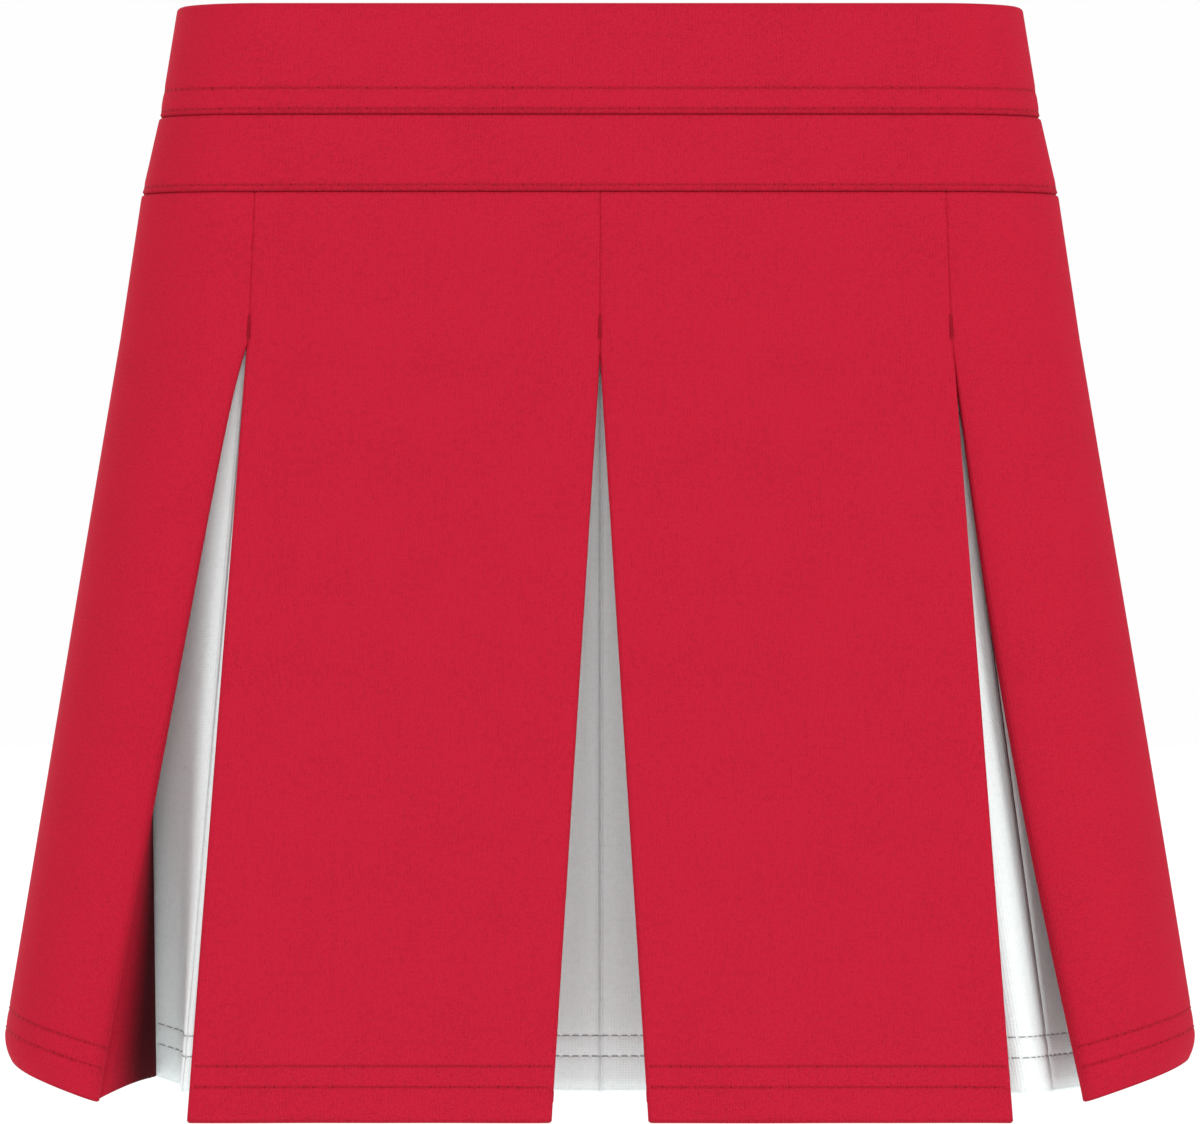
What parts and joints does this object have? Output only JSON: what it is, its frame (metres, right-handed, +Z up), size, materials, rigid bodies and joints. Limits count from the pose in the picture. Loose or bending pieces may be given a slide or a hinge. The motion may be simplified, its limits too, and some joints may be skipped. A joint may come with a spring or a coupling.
{
  "type": "pleated cheer skirt",
  "caption": "Pull-on pleated cheer skirt with elastic waistband, yoke, and red panels that swing between inverted pleats with white underlays.",
  "frame": {"origin": "centre of the waist opening, at the top edge of the waistband", "axes": "+Z up out of the waist opening, the front faces -Y, +X to the right seen from the front"},
  "size_m": [0.372, 0.11, 0.345],
  "materials": {
    "red_knit": "matte",
    "white_knit": "matte",
    "red_thread": "satin",
    "grey_thread": "satin",
    "elastic": "matte"
  },
  "bodies": {
    "root": {"back_centre_bar_tack": "red_thread", "back_centre_godet": "white_knit", "back_centre_godet_hem_lower_row": "grey_thread", "back_centre_godet_hem_upper_row": "grey_thread", "back_left_bar_tack": "red_thread", "back_left_godet": "white_knit", "back_left_godet_hem_lower_row": "grey_thread", "back_left_godet_hem_upper_row": "grey_thread", "back_left_panel_top": "red_knit", "back_right_bar_tack": "red_thread", "back_right_godet": "white_knit", "back_right_godet_hem_lower_row": "grey_thread", "back_right_godet_hem_upper_row": "grey_thread", "back_right_panel_top": "red_knit", "front_centre_bar_tack": "red_thread", "front_centre_godet": "white_knit", "front_centre_godet_hem_lower_row": "grey_thread", "front_centre_godet_hem_upper_row": "grey_thread", "front_left_bar_tack": "red_thread", "front_left_godet": "white_knit", "front_left_godet_hem_lower_row": "grey_thread", "front_left_godet_hem_upper_row": "grey_thread", "front_left_panel_top": "red_knit", "front_right_bar_tack": "red_thread", "front_right_godet": "white_knit", "front_right_godet_hem_lower_row": "grey_thread", "front_right_godet_hem_upper_row": "grey_thread", "front_right_panel_top": "red_knit", "left_side_panel_top": "red_knit", "right_side_panel_top": "red_knit", "waist_elastic": "elastic", "waistband_back": "red_knit", "waistband_front": "red_knit", "waistband_lower_stitching": "red_thread", "waistband_upper_stitching": "red_thread", "yoke_back": "red_knit", "yoke_front": "red_knit", "yoke_stitching": "red_thread"},
    "front_right_panel": {"front_right_panel": "red_knit", "front_right_panel_hem_lower_row": "red_thread", "front_right_panel_hem_upper_row": "red_thread"},
    "right_side_panel": {"right_side_panel": "red_knit", "right_side_panel_hem_lower_row": "red_thread", "right_side_panel_hem_upper_row": "red_thread"},
    "back_right_panel": {"back_right_panel": "red_knit", "back_right_panel_hem_lower_row": "red_thread", "back_right_panel_hem_upper_row": "red_thread"},
    "back_left_panel": {"back_left_panel": "red_knit", "back_left_panel_hem_lower_row": "red_thread", "back_left_panel_hem_upper_row": "red_thread"},
    "left_side_panel": {"left_side_panel": "red_knit", "left_side_panel_hem_lower_row": "red_thread", "left_side_panel_hem_upper_row": "red_thread"},
    "front_left_panel": {"front_left_panel": "red_knit", "front_left_panel_hem_lower_row": "red_thread", "front_left_panel_hem_upper_row": "red_thread"}
  },
  "joints": [
    {"name": "front_right_swing", "type": "hinge", "parent": "root", "child": "front_right_panel", "pos_m": [0.0544, -0.031, -0.104], "axis": [-1, 0, 0], "range_deg": [0, 12]},
    {"name": "right_side_swing", "type": "hinge", "parent": "root", "child": "right_side_panel", "pos_m": [0.15, 0, -0.104], "axis": [0, -1, 0], "range_deg": [0, 12]},
    {"name": "back_right_swing", "type": "hinge", "parent": "root", "child": "back_right_panel", "pos_m": [0.0544, 0.031, -0.104], "axis": [1, 0, 0], "range_deg": [0, 12]},
    {"name": "back_left_swing", "type": "hinge", "parent": "root", "child": "back_left_panel", "pos_m": [-0.0544, 0.031, -0.104], "axis": [1, 0, 0], "range_deg": [0, 12]},
    {"name": "left_side_swing", "type": "hinge", "parent": "root", "child": "left_side_panel", "pos_m": [-0.15, 0, -0.104], "axis": [0, 1, 0], "range_deg": [0, 12]},
    {"name": "front_left_swing", "type": "hinge", "parent": "root", "child": "front_left_panel", "pos_m": [-0.0544, -0.031, -0.104], "axis": [-1, 0, 0], "range_deg": [0, 12]}
  ]
}
